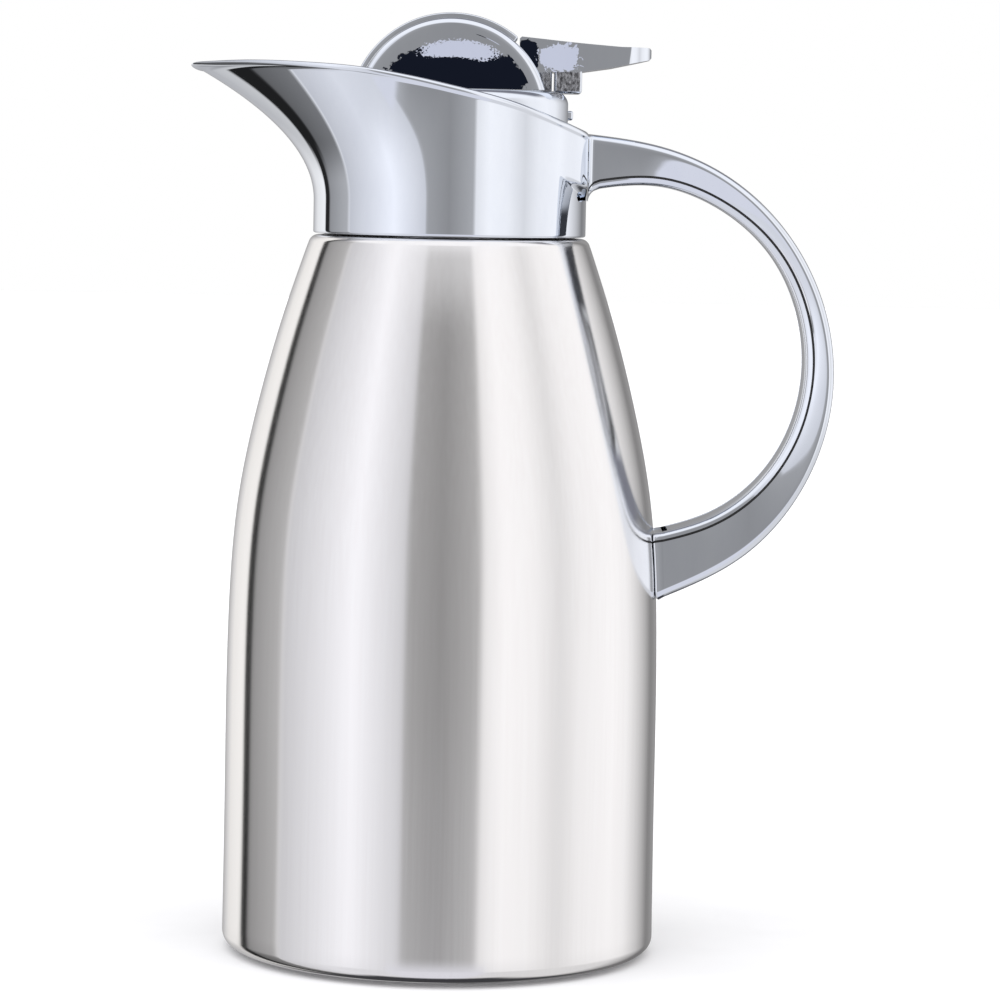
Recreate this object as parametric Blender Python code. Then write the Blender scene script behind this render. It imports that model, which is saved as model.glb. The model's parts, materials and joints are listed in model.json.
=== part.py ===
"""Vacuum coffee pot: double-walled steel flask, chromed pouring head, bow handle and push-fit lid with a thumb lever.

The frame's origin is the centre of the foot pad's underside. +Z is up, +X points to the handle and -X to the
spout. Every length below is in millimetres; each mesh is scaled to metres as it becomes an object.
"""

import math

import bmesh
import bpy
import numpy as np
from mathutils import Matrix, Vector

MM = 0.001
GAP = 0.3  # clearance between neighbouring pieces

# Flask
BODY_R = 65.0
SHELL_FOOT_Z = 1.2
SHELL_CORNER_R = 4.0
SHELL_MOUTH_R = 59.5  # hole in the underside, closed by the base plate
SHEET = 0.8  # thickness of both steel walls
SHOULDER_Z = 214.9
SHOULDER_CORNER_R = 3.0
NECK_R = 31.0
NECK_TOP_Z = 225.7
FLASK_FLOOR_Z = 8.0
FLASK_R = 58.2
FLASK_CORNER_R = 12.0
FLASK_NECK_R = 29.2
FOOT_R = 56.0
FOOT_TOP_Z = SHELL_FOOT_Z - GAP

# Pouring head
COLLAR_R = 40.6
COLLAR_Z = 215.4
COLLAR_WALL = 2.2
COLLAR_FLOOR = (218.5, 221.5)
SPOUT_TIP_X = 77.0
PAD_FLAT = math.radians(20)  # half angle of the flat pad that carries the handle
PAD_BLEND = math.radians(37)

# Handle
HANDLE_HALF_WIDTH = 10.5
HANDLE_ROUND_OUT = 3.2
HANDLE_ROUND_IN = 2.0
COVER_HALF_WIDTH = 7.0
COVER_T = 1.4
CHANNEL_DEPTH = 5.0
BRACKET_SCREW_X = 70.5
HANDLE_SCREW_Z = (233.5, 239.5)

# Lid
CAP_R = 35.9
CAP_TOP = 258.4
CAP_CORNER_R = 4.0
CAP_WALL = 2.5
CAP_TOP_T = 3.0
DISC_Z = (241.5, 243.5)  # the lid floor's disc, which closes the cap from below
DISC_R = 35.4
CUP_R = 10.5
CUP_BORE_R = 8.7
NOTCH_HALF_WIDTH = 9.9
NOTCH_X = 23.8
NOTCH_FLOOR_Z = 246.8
DOME_CENTRE_Z = 250.6
ARCH_R = 30.5
ARCH_T = 2.5
ARCH_END_X = 19.4
ARCH_HALF_WIDTH = 9.7
CHEEK_R = 28.8
CHEEK_Y = (10.0, 14.5)
CHEEK_ROUND = 1.8

# Stopper and valve
STOPPER_R = 25.0
STOPPER_BOTTOM_Z = 209.0
STOPPER_BORE_R = 22.2
PORT_R = 15.0
GROOVE_Z = (216.0, 220.0)
GROOVE_R = 23.8
WINDOWS = 6
BORE_R = 26.5  # inside of the pouring liner, where the stopper's seal sits
STEM_R = 3.0
STEM_GUIDE_R = 3.4
STEM_Z = (207.3, 249.7)
PLATE_Z = (250.0, 252.0)
TAB_TOP_Z = 252.8
PAD_TOP_Z = 257.6  # top of the push frame's pad, under the lever's block

# Thumb lever
PIVOT = (17.0, 0.0, 266.0)
LEVER_HALF_WIDTH = 9.5
PIN_R = 1.5
PIN_HOLE_R = 1.6
BLOCK_Z = 257.9

ROUND_STEPS = 36
SMALL_STEPS = 16
SCREW_STEPS = 8
HEAD_STEPS = 40  # points round the pouring head


# ---------------------------------------------------------------- helpers


def clear_scene():
    for item in list(bpy.data.objects):
        bpy.data.objects.remove(item, do_unlink=True)


def new_material(name, colour, roughness, metallic):
    material = bpy.data.materials.new(name)
    material.use_nodes = True
    shader = material.node_tree.nodes["Principled BSDF"]
    shader.inputs["Base Color"].default_value = (*colour, 1.0)
    shader.inputs["Roughness"].default_value = roughness
    shader.inputs["Metallic"].default_value = metallic
    return material


def new_pivot(name, position):
    """An empty on a joint's axis, which carries the pieces of one moving body."""
    pivot = bpy.data.objects.new(name, None)
    pivot.location = Vector(position) * MM
    bpy.context.scene.collection.objects.link(pivot)
    return pivot


def finish_mesh(name, bm, origin=(0.0, 0.0, 0.0)):
    bmesh.ops.remove_doubles(bm, verts=bm.verts, dist=1e-4)
    bmesh.ops.recalc_face_normals(bm, faces=bm.faces)
    bmesh.ops.translate(bm, vec=-Vector(origin), verts=bm.verts)
    bmesh.ops.scale(bm, vec=(MM, MM, MM), verts=bm.verts)
    mesh = bpy.data.meshes.new(name)
    bm.to_mesh(mesh)
    bm.free()
    mesh.shade_smooth()
    mesh.set_sharp_from_angle(angle=math.radians(35))
    return mesh


def add_piece(name, bm, material, pivot=None):
    """Makes a named sub-part from a mesh in millimetres; its origin is its pivot's place, or the pot's."""
    origin = Vector((0.0, 0.0, 0.0)) if pivot is None else pivot.location / MM
    piece = bpy.data.objects.new(name, finish_mesh(name, bm, origin))
    piece.data.materials.append(material)
    piece.parent = pivot
    bpy.context.scene.collection.objects.link(piece)
    return piece


def combine(piece, bm, operation):
    """Cuts a tool mesh from a piece, or joins it on, with a Boolean modifier."""
    count = len(piece.modifiers) + 1
    name = f"{piece.name}_tool_{count}"
    origin = (0.0, 0.0, 0.0) if piece.parent is None else piece.parent.location / MM
    tool = bpy.data.objects.new(name, finish_mesh(name, bm, origin))
    tool.parent = piece.parent
    tool.hide_render = True
    tool.display_type = "WIRE"
    bpy.context.scene.collection.objects.link(tool)
    modifier = piece.modifiers.new(name, "BOOLEAN")
    modifier.operation = operation
    modifier.solver = "EXACT"
    modifier.object = tool


def cut(piece, bm):
    combine(piece, bm, "DIFFERENCE")


def join(piece, bm):
    combine(piece, bm, "UNION")


def arc(centre, radius, start, end, count):
    """Points on an arc in a plane, from start to end in degrees, both ends included."""
    angles = np.radians(np.linspace(start, end, count))
    return [(centre[0] + radius * math.cos(a), centre[1] + radius * math.sin(a)) for a in angles]


def smooth_curve(points, per_span):
    """A smooth curve through the points: cubic spans whose slopes come from each point's neighbours."""
    knots = np.array(points, float)
    at = np.concatenate([[0.0], np.cumsum(np.linalg.norm(np.diff(knots, axis=0), axis=1))])
    slopes = np.gradient(knots, at, axis=0, edge_order=2)
    curve = []
    for i in range(len(knots) - 1):
        span = at[i + 1] - at[i]
        for t in np.arange(per_span) / per_span:
            low, high = 2 * t**3 - 3 * t**2 + 1, 3 * t**2 - 2 * t**3
            leave, arrive = t**3 - 2 * t**2 + t, t**3 - t**2
            curve.append(
                low * knots[i] + high * knots[i + 1] + span * (leave * slopes[i] + arrive * slopes[i + 1])
            )
    return [tuple(point) for point in curve] + [tuple(knots[-1])]


def offset_left(points, distance):
    """The open line moved to its left by a distance, keeping its number of points."""
    line = np.array(points, float)
    step = np.diff(line, axis=0)
    side = np.column_stack([-step[:, 1], step[:, 0]]) / np.linalg.norm(step, axis=1)[:, None]
    before, after = np.vstack([side[:1], side]), np.vstack([side, side[-1:]])
    middle = before + after
    middle /= np.linalg.norm(middle, axis=1)[:, None]
    stretch = distance / np.sum(middle * before, axis=1)
    return [tuple(point) for point in line + middle * stretch[:, None]]


def turned(profile, steps=ROUND_STEPS):
    """A closed (radius, height) outline spun about the pot's axis; points on the axis close the shape."""
    bm = bmesh.new()
    verts = [bm.verts.new((r, 0.0, z)) for r, z in profile]
    edges = [
        bm.edges.new((a, b))
        for a, b in zip(verts, verts[1:] + verts[:1])
        if a.co.x > 0 or b.co.x > 0
    ]
    bmesh.ops.spin(
        bm, geom=verts + edges, cent=(0, 0, 0), axis=(0, 0, 1), angle=2 * math.pi, steps=steps
    )
    bmesh.ops.remove_doubles(bm, verts=bm.verts, dist=1e-4)
    return bm


def ring(inner, outer, low, high, steps=ROUND_STEPS):
    return turned([(outer, high), (outer, low), (inner, low), (inner, high)], steps)


def disc(radius, low, high, steps=ROUND_STEPS):
    return turned([(0, high), (radius, high), (radius, low), (0, low)], steps)


def rod(start, end, radius, steps=SMALL_STEPS):
    start, end = Vector(start), Vector(end)
    along = end - start
    turn = along.to_track_quat("Z", "Y").to_matrix().to_4x4()
    bm = bmesh.new()
    bmesh.ops.create_cone(
        bm,
        cap_ends=True,
        segments=steps,
        radius1=radius,
        radius2=radius,
        depth=along.length,
        matrix=Matrix.Translation((start + end) / 2) @ turn,
    )
    return bm


def box(low, high):
    low, high = Vector(low), Vector(high)
    size = high - low
    bm = bmesh.new()
    bmesh.ops.create_cube(bm, size=1.0)
    bmesh.ops.scale(bm, vec=size, verts=bm.verts)
    bmesh.ops.translate(bm, vec=(low + high) / 2, verts=bm.verts)
    return bm


def loft(rings, closed=False):
    """Skins rings of equal length; an open loft gets a flat cap on each end, a closed one meets itself."""
    bm = bmesh.new()
    rows = [[bm.verts.new(point) for point in line] for line in rings]
    pairs = list(zip(rows, rows[1:]))
    if closed:
        pairs.append((rows[-1], rows[0]))
    for lower, upper in pairs:
        for i in range(len(lower)):
            j = (i + 1) % len(lower)
            bm.faces.new((lower[i], lower[j], upper[j], upper[i]))
    if not closed:
        bm.faces.new(rows[0][::-1])
        bm.faces.new(rows[-1])
    return bm


def prism(outline, y_low, y_high):
    """An (x, z) outline extruded along Y."""
    return loft([[(x, y, z) for x, z in outline] for y in (y_low, y_high)])


def add_screw(name, head_base, direction, head, shank, material, pivot=None):
    """A pan-head screw: its head starts at head_base and goes back, its shank goes forward along direction."""
    head_r, head_t = head
    shank_r, shank_length = shank
    start, forward = Vector(head_base), Vector(direction)
    turn = forward.to_track_quat("Z", "Y").to_matrix().to_4x4()
    profile = [
        (0, shank_length),
        (shank_r, shank_length - 0.6),
        (shank_r, 0),
        (head_r, 0),
        (head_r, -0.5 * head_t),
        (0, -head_t),
    ]
    bm = turned(profile, SCREW_STEPS)
    bmesh.ops.transform(bm, matrix=Matrix.Translation(start) @ turn, verts=bm.verts)
    return add_piece(name, bm, material, pivot)


# ---------------------------------------------------------------- flask


def shell_side():
    """(radius, height) of the shell's outside, from the base's corner to the shoulder's."""
    return [(65.0, 5.2), (64.8, 45.0), (64.3, 103.0), (61.9, 136.0), (56.0, 166.0), (48.6, 193.0), (42.0, 212.8)]


def make_outer_shell(material):
    corner_x = BODY_R - SHELL_CORNER_R
    base = [(SHELL_MOUTH_R, SHELL_FOOT_Z)]
    base += arc((corner_x, SHELL_FOOT_Z + SHELL_CORNER_R), SHELL_CORNER_R, -90, 0, 4)
    side = shell_side()[1:-1]
    shoulder_x = 39.1
    shoulder = arc((shoulder_x, SHOULDER_Z - SHOULDER_CORNER_R), SHOULDER_CORNER_R, 17, 90, 3)
    neck = [(NECK_R + 0.8, SHOULDER_Z), (NECK_R, SHOULDER_Z + 0.8), (NECK_R, NECK_TOP_Z)]
    outside = base + side + shoulder + neck
    inside = offset_left(outside, SHEET)
    return add_piece("outer_shell", turned(outside + inside[::-1]), material)


def make_inner_flask(material):
    corner = (FLASK_R - FLASK_CORNER_R, FLASK_FLOOR_Z + FLASK_CORNER_R)
    base = [(0, FLASK_FLOOR_Z)] + arc(corner, FLASK_CORNER_R, -90, 0, 4)
    side = [(57.9, 60.0), (57.3, 101.0), (54.9, 136.0), (48.6, 166.0), (38.6, 192.0), (31.2, 206.0)]
    neck = [(FLASK_NECK_R, 214.0), (FLASK_NECK_R, NECK_TOP_Z + GAP)]
    outside = base + side + neck
    inside = [(max(r, 0.0), z) for r, z in offset_left(outside, SHEET)]
    inside[0] = (0.0, FLASK_FLOOR_Z + SHEET)
    lip_z = NECK_TOP_Z + GAP
    inside[-1] = (FLASK_NECK_R - SHEET, lip_z + SHEET)
    lip = [(NECK_R, lip_z), (NECK_R, lip_z + SHEET)]
    return add_piece("inner_flask", turned(outside + lip + inside[::-1]), material)


def make_base(steel, getter, silicone):
    add_piece("base_plate", disc(SHELL_MOUTH_R - GAP, SHELL_FOOT_Z, SHELL_FOOT_Z + SHEET), steel)
    add_piece("foot_pad", disc(FOOT_R, 0.0, FOOT_TOP_Z), silicone)
    add_piece("getter_capsule", disc(6.0, 4.5, FLASK_FLOOR_Z - GAP, SMALL_STEPS), getter)


# ---------------------------------------------------------------- pouring head


def spout_reach(height):
    """How far the pouring head reaches forward of the axis at a height."""
    heights = [215.4, 224.5, 230.0, 235.2, 240.4, 245.7, 251.0, 256.1, 261.2, 264.2]
    reaches = [40.7, 40.7, 41.3, 43.3, 46.6, 50.8, 56.0, 63.2, 72.4, SPOUT_TIP_X]
    return float(np.interp(height, heights, reaches))


def rim_height(x):
    xs = [-79.0, -71.0, -58.0, -41.0, -27.0, -16.3, -6.4, 2.4, 18.9, 27.2, 35.2, 42.0]
    zs = [264.3, 265.4, 265.8, 265.2, 264.1, 262.5, 260.8, 258.8, 254.8, 251.9, 248.7, 245.8]
    return float(np.interp(x, xs, zs))


def head_point(angle, reach, radius, pad):
    """A point of the head's plan: a circle drawn out to a beak in front, with a flat pad behind."""
    along, across = math.cos(angle), math.sin(angle)
    if along < 0:
        beak = reach - radius
        forward = radius * -along + beak * (-along) ** 2.3
        return -forward, (radius + beak * (0.87 * along**2 - 1.34 * along**4)) * across
    if not pad:
        return radius * along, radius * across
    aside = min(angle, 2 * math.pi - angle)
    share = min(max((aside - PAD_FLAT) / (PAD_BLEND - PAD_FLAT), 0.0), 1.0)
    share = share * share * (3 - 2 * share)
    flat = radius / max(along, math.cos(PAD_FLAT))
    spread = flat + (radius - flat) * share
    return spread * along, spread * across


def head_ring(share, low, inset, drop, pad, steps=HEAD_STEPS):
    """One ring of the head's wall, at a share of the way from a level height up to the sloping rim."""
    points = []
    for k in range(steps):
        angle = 2 * math.pi * k / steps
        tip_x, _ = head_point(angle, SPOUT_TIP_X - inset, COLLAR_R - inset, pad)
        z = low + share * (rim_height(tip_x) - drop - low)
        reach = spout_reach(z) - inset
        x, y = head_point(angle, reach, COLLAR_R - inset, pad)
        points.append((x, y, z))
    return points


def flat_ring(radius, z, steps=HEAD_STEPS):
    angles = [2 * math.pi * k / steps for k in range(steps)]
    return [(radius * math.cos(a), radius * math.sin(a), z) for a in angles]


def make_collar(chrome):
    floor_low, floor_high = COLLAR_FLOOR
    outside = [head_ring(s, COLLAR_Z, 0.0, 0.5, True) for s in (0, 0.25, 0.45, 0.62, 0.78, 0.9, 1)]
    rim = [head_ring(1, COLLAR_Z, 0.5, 0.0, False), head_ring(1, COLLAR_Z, COLLAR_WALL - 0.5, 0.0, False)]
    inside = [head_ring(s, floor_high, COLLAR_WALL, 0.5, False) for s in (1, 0.75, 0.5, 0.25, 0)]
    floor = [
        flat_ring(NECK_R + 0.6, floor_high),
        flat_ring(NECK_R + 0.6, floor_low),
        flat_ring(COLLAR_R - COLLAR_WALL, floor_low),
        flat_ring(COLLAR_R - COLLAR_WALL, COLLAR_Z),
    ]
    collar = add_piece("collar", loft(outside + rim + inside + floor, closed=True), chrome)
    for z in HANDLE_SCREW_Z:
        cut(collar, rod((34, 0, z), (46, 0, z), 1.7, SCREW_STEPS))


def make_neck_parts(plastic, silicone):
    add_piece("neck_gasket", ring(32.5, 38.0, SHOULDER_Z + GAP, COLLAR_FLOOR[0] - GAP), silicone)
    add_piece("clamp_ring", ring(NECK_R + GAP, 36.8, COLLAR_FLOOR[1] + GAP, 225.8), plastic)
    lip_top = NECK_TOP_Z + GAP + SHEET
    add_piece("mouth_gasket", ring(28.7, NECK_R, lip_top + GAP, lip_top + GAP + 1.0), silicone)
    flange = (lip_top + 2 * GAP + 1.0, lip_top + 2 * GAP + 3.0)
    profile = [(37.8, flange[1]), (37.8, flange[0]), (28.0, flange[0]), (28.0, 213.0), (BORE_R, 213.0)]
    liner = add_piece("pour_liner", turned(profile + [(BORE_R, flange[1])]), plastic)
    for side in (-1, 1):
        near, far = sorted((side * 2.5, side * 4.5))
        join(liner, box((27.2, near, flange[0] + 1.0), (31.5, far, 236.5)))


# ---------------------------------------------------------------- handle


def handle_edges():
    """The handle's outer and inner edges seen from the side, as matching (x, z) points from top to bottom."""
    outer = [(40.9, 246.1), (62.5, 242.8), (83.7, 233.6), (102.2, 215.7), (113.1, 192.4)]
    outer += [(114.9, 167.2), (106.3, 140.9), (89.7, 121.3), (64.0, 107.7)]
    inner = [(40.9, 229.4), (61.6, 231.1), (79.5, 225.1), (96.0, 211.2), (105.4, 190.5)]
    inner += [(105.4, 166.7), (96.3, 146.9), (80.1, 133.3), (64.0, 127.9)]
    return smooth_curve(outer, 3), smooth_curve(inner, 3)


def across_handle(outer, inner):
    """A frame across the handle: where its inner edge lies, which way its outer edge is and how far."""
    base = Vector((inner[0], 0, inner[1]))
    reach = Vector((outer[0], 0, outer[1])) - base
    return base, reach.normalized(), reach.length


def handle_section(outer, inner):
    base, way, depth = across_handle(outer, inner)
    half = HANDLE_HALF_WIDTH
    big, small = HANDLE_ROUND_OUT, HANDLE_ROUND_IN
    outline = arc((half - small, small), small, -90, 0, 3)
    outline += arc((half - big, depth - big), big, 0, 90, 4)
    outline += [(-y, n) for y, n in reversed(outline)]
    return [base + way * n + Vector((0, y, 0)) for y, n in outline]


def handle_strip(outer, inner, half_width, low, high):
    """A rectangle across the handle's inner side, between two depths under its inner edge."""
    base, way, _ = across_handle(outer, inner)
    corners = [(-half_width, low), (half_width, low), (half_width, high), (-half_width, high)]
    return [base + way * n + Vector((0, y, 0)) for y, n in corners]


def make_handle(chrome, steel):
    outer, inner = handle_edges()
    stations = list(zip(outer, inner))
    handle = add_piece("handle_shell", loft([handle_section(*s) for s in stations]), chrome)
    covered = stations[2:-1]
    strips = [handle_strip(*s, COVER_HALF_WIDTH + GAP, -2.0, CHANNEL_DEPTH) for s in covered]
    strips[0] = [a.lerp(b, 0.03) for a, b in zip(strips[0], strips[1])]
    strips[-1] = [a.lerp(b, 0.03) for a, b in zip(strips[-1], strips[-2])]
    cut(handle, loft(strips))
    cut(handle, rod((0, 0, 80), (0, 0, 150), BODY_R + GAP, 2 * ROUND_STEPS))
    for z in HANDLE_SCREW_Z:
        cut(handle, rod((38, 0, z), (51, 0, z), 1.7, SCREW_STEPS))
    screw_x = BRACKET_SCREW_X
    cut(handle, box((60, -6.4, 115.6), (screw_x + 4.5, 6.4, 119.0)))
    cut(handle, rod((screw_x, 0, 113.4), (screw_x, 0, 128), 1.8, SCREW_STEPS))
    cut(handle, rod((screw_x, 0, 123.5), (screw_x, 0, 130), 3.4, SCREW_STEPS))

    cover = [handle_strip(*s, COVER_HALF_WIDTH, 0.0, COVER_T) for s in covered]
    cover[0] = [a.lerp(b, 0.1) for a, b in zip(cover[0], cover[1])]
    cover[-1] = [a.lerp(b, 0.1) for a, b in zip(cover[-1], cover[-2])]
    add_piece("handle_cover", loft(cover), chrome)

    bracket = add_piece("handle_bracket", box((BODY_R + GAP, -6, 116.1), (screw_x + 4.0, 6, 118.5)), steel)
    join(bracket, box((BODY_R + GAP, -6, 112.0), (BODY_R + 1.7, 6, 123.0)))
    cut(bracket, rod((screw_x, 0, 110), (screw_x, 0, 125), 1.9, SCREW_STEPS))
    cut(handle, box((60, -6.4, 111.6), (BODY_R + 2.1, 6.4, 123.4)))
    add_screw("handle_lower_screw", (screw_x, 0, 123.8), (0, 0, -1), (3.0, 2.0), (1.5, 9.6), steel)
    for number, z in enumerate(HANDLE_SCREW_Z, 1):
        add_screw(f"handle_upper_screw_{number}", (38.05, 0, z), (1, 0, 0), (2.6, 1.7), (1.4, 12.0), steel)


# ---------------------------------------------------------------- lid


LID_SCREWS = [(30 * math.cos(a), 30 * math.sin(a)) for a in np.radians([60, 180, 300])]
CHEEK_SCREWS = [(x, y) for x in (-18.0, 18.0) for y in (-12.2, 12.2)]
ARCH_SCREW = (-23.0, 0.0)


def make_cap(chrome, pivot):
    corner = (CAP_R - CAP_CORNER_R, CAP_TOP - CAP_CORNER_R)
    low = DISC_Z[1] + GAP
    under = CAP_TOP - CAP_TOP_T
    profile = [(0, CAP_TOP)] + arc(corner, CAP_CORNER_R, 90, 0, 4)
    profile += [(CAP_R, low), (CAP_R - CAP_WALL, low), (CAP_R - CAP_WALL, under), (0, under)]
    cap = add_piece("lid_cap", turned(profile), chrome, pivot)
    for x, y in LID_SCREWS:
        join(cap, rod((x, y, low), (x, y, under + 1), 3.5, SCREW_STEPS))
        cut(cap, rod((x, y, low - 1), (x, y, low + 7.5), 1.4, SCREW_STEPS))
    for x, y in CHEEK_SCREWS + [ARCH_SCREW]:
        cut(cap, rod((x, y, under - 1), (x, y, CAP_TOP + 1), 1.2, SCREW_STEPS))
    notch = NOTCH_HALF_WIDTH
    cut(cap, box((NOTCH_X, -notch, NOTCH_FLOOR_Z), (CAP_R + 3, notch, CAP_TOP + 1)))


def dome_arc(radius, low_z, count):
    """Points of the half-moon's edge at a radius, from the rear foot over the top to the front foot."""
    foot = math.degrees(math.asin((low_z - DOME_CENTRE_Z) / radius))
    return arc((0, DOME_CENTRE_Z), radius, foot, 180 - foot, count)


def make_cheek(name, side, chrome, pivot):
    low = CAP_TOP + GAP
    inner_y, outer_y = CHEEK_Y
    rounds = [(0.0, 0.0), (0.3, 0.13), (0.7, 0.29), (1.0, 1.0)]
    rings = [(inner_y, CHEEK_R)]
    rings += [(outer_y - CHEEK_ROUND * (1 - t), CHEEK_R - CHEEK_ROUND * s) for t, s in rounds]
    loops = [[(x, side * y, z) for x, z in dome_arc(r, low, 17)] for y, r in rings]
    cheek = add_piece(name, loft(loops), chrome, pivot)
    pin_x, _, pin_z = PIVOT
    cut(cheek, rod((pin_x, side * 8, pin_z), (pin_x, side * 13.2, pin_z), PIN_HOLE_R))
    for x, y in CHEEK_SCREWS:
        if y * side > 0:
            cut(cheek, rod((x, y, low - 1), (x, y, low + 4.6), 1.2, SCREW_STEPS))


def make_arch(chrome, pivot):
    low = CAP_TOP + GAP
    rear = math.degrees(math.acos(ARCH_END_X / ARCH_R))
    inner_r = ARCH_R - ARCH_T
    front, inner_front = (180 - math.degrees(math.asin((low - DOME_CENTRE_Z) / r)) for r in (ARCH_R, inner_r))
    outline = arc((0, DOME_CENTRE_Z), ARCH_R, rear, front, 14)
    outline += arc((0, DOME_CENTRE_Z), inner_r, inner_front, rear, 14)
    arch = add_piece("dome_arch", prism(outline, -ARCH_HALF_WIDTH, ARCH_HALF_WIDTH), chrome, pivot)
    join(arch, box((-27.8, -ARCH_HALF_WIDTH + 0.5, low), (-18.0, ARCH_HALF_WIDTH - 0.5, low + 3.0)))
    x, y = ARCH_SCREW
    cut(arch, rod((x, y, low - 1), (x, y, low + 2.2), 1.2, SCREW_STEPS))


def make_stopper(plastic, silicone, pivot):
    """The stopper's tube, with the port at its foot, and the seal in its groove."""
    groove_low, groove_high = GROOVE_Z
    low, high = STOPPER_BOTTOM_Z, DISC_Z[0] - GAP
    profile = [
        (STOPPER_BORE_R, high),
        (STOPPER_R, high),
        (STOPPER_R, groove_high),
        (GROOVE_R, groove_high),
        (GROOVE_R, groove_low),
        (STOPPER_R, groove_low),
        (STOPPER_R, low),
        (PORT_R, low),
        (PORT_R, low + 2.5),
        (STOPPER_BORE_R, low + 2.5),
    ]
    stopper = add_piece("stopper_body", turned(profile, 28), plastic, pivot)
    join(stopper, ring(STEM_GUIDE_R, 6.0, low, low + 5.0, SMALL_STEPS))
    for k in range(3):
        spoke = box((4.8, -1.2, low + 0.1), (PORT_R + 1.5, 1.2, low + 2.4))
        bmesh.ops.rotate(spoke, matrix=Matrix.Rotation(math.radians(60 + 120 * k), 3, "Z"), verts=spoke.verts)
        join(stopper, spoke)
    for k in range(WINDOWS):
        window = box((15, -6, 229.5), (30, 6, 238.5))
        bmesh.ops.rotate(window, matrix=Matrix.Rotation(2 * math.pi * k / WINDOWS, 3, "Z"), verts=window.verts)
        cut(stopper, window)
    seal = ring(GROOVE_R + GAP, BORE_R - GAP, groove_low + GAP, groove_high - GAP)
    add_piece("stopper_seal", seal, silicone, pivot)


def make_lid_floor(plastic, pivot):
    """The disc that closes the cap from below, with the spring's cup and the key that fits the liner's fork."""
    low, high = DISC_Z
    cup_low, cup_floor = 231.5, 233.3
    profile = [
        (DISC_R, high),
        (DISC_R, low),
        (CUP_R, low),
        (CUP_R, cup_low),
        (STEM_GUIDE_R, cup_low),
        (STEM_GUIDE_R, cup_floor),
        (CUP_BORE_R, cup_floor),
        (CUP_BORE_R, high),
    ]
    floor = add_piece("lid_floor", turned(profile), plastic, pivot)
    join(floor, box((27.5, -2.0, 232.0), (30.5, 2.0, low + 0.8)))
    for x, y in LID_SCREWS:
        cut(floor, rod((x, y, low - 1), (x, y, high + 1), 1.5, SCREW_STEPS))


def make_lid_fasteners(steel, pivot):
    for number, (x, y) in enumerate(LID_SCREWS, 1):
        base = (x, y, DISC_Z[0] - GAP)
        add_screw(f"lid_screw_{number}", base, (0, 0, 1), (2.6, 1.6), (1.1, 9.0), steel, pivot)
    under = CAP_TOP - CAP_TOP_T - GAP
    for number, (x, y) in enumerate(CHEEK_SCREWS, 1):
        add_screw(f"cheek_screw_{number}", (x, y, under), (0, 0, 1), (2.2, 1.4), (0.9, 7.4), steel, pivot)
    add_screw("arch_screw", (*ARCH_SCREW, under), (0, 0, 1), (2.2, 1.4), (0.9, 5.2), steel, pivot)
    pin_x, _, pin_z = PIVOT
    add_piece("lever_pin", rod((pin_x, -12.9, pin_z), (pin_x, 12.9, pin_z), PIN_R), steel, pivot)


# ---------------------------------------------------------------- lever and valve


def make_lever(chrome, pivot):
    pin_x, _, pin_z = PIVOT
    half = LEVER_HALF_WIDTH
    hub_r = 4.5
    outline = [(19.9, 271.0), (19.9, 273.9), (20.4, 274.4), (34.3, 273.1), (50.0, 271.9), (58.6, 271.9)]
    outline += [(59.1, 271.4), (59.1, 268.8), (58.6, 268.2), (47.1, 265.7), (38.7, 264.4), (27.0, 264.0), (20.8, 263.0)]
    outline += arc((pin_x, pin_z), hub_r, -70, -270, 9)
    lever = add_piece("thumb_lever", prism(outline, -half, half), chrome, pivot)
    # The thumb pad's end is rounded in plan.
    end_r = 8.0
    end = [(70.0, -20.0), (70.0, 20.0), (59.1 - end_r, 20.0)]
    end += arc((59.1 - end_r, half - end_r), end_r, 90, 0, 6)
    end += arc((59.1 - end_r, end_r - half), end_r, 0, -90, 6)
    end += [(59.1 - end_r, -20.0)]
    cut(lever, loft([[(x, y, z) for x, y in end] for z in (255.0, 285.0)]))
    join(lever, box((30.3, -8.5, BLOCK_Z), (38.5, 8.5, 266.0)))
    join(lever, box((25.8, -6.0, 257.6), (29.6, 6.0, 266.0)))
    cut(lever, rod((pin_x, -half - 1, pin_z), (pin_x, half + 1, pin_z), PIN_HOLE_R))


def make_valve(plastic, silicone, steel, pivot):
    low, high = PLATE_Z
    frame = add_piece("push_frame", box((-9, -7.5, low), (34.0, 7.5, high)), plastic, pivot)
    join(frame, box((32.8, -5, low), (36.1, 5, TAB_TOP_Z)))
    join(frame, box((30.2, -6, low), (33.4, 6, PAD_TOP_Z)))
    cut(frame, rod((0, 0, low - 1), (0, 0, high + 1), 1.5, SCREW_STEPS))

    stem_low, stem_high = STEM_Z
    stem = add_piece("valve_stem", disc(STEM_R, stem_low, stem_high, SMALL_STEPS), steel, pivot)
    cut(stem, disc(1.4, stem_low - 1, stem_low + 7.0, SCREW_STEPS))
    cut(stem, disc(1.4, stem_high - 7.0, stem_high + 1, SCREW_STEPS))
    plug_top = stem_low - GAP
    add_piece("valve_plug", ring(1.5, 18.0, plug_top - 2.5, plug_top, 28), plastic, pivot)
    seal_top = STOPPER_BOTTOM_Z - GAP
    add_piece("valve_seal", ring(13.5, 18.0, stem_low, seal_top, 28), silicone, pivot)
    screw_z = plug_top - 2.5 - GAP
    add_screw("valve_screw", (0, 0, screw_z), (0, 0, 1), (3.2, 1.8), (1.1, 9.0), steel, pivot)
    add_screw("stem_screw", (0, 0, high + GAP), (0, 0, -1), (2.8, 1.2), (1.1, 8.3), steel, pivot)


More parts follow.
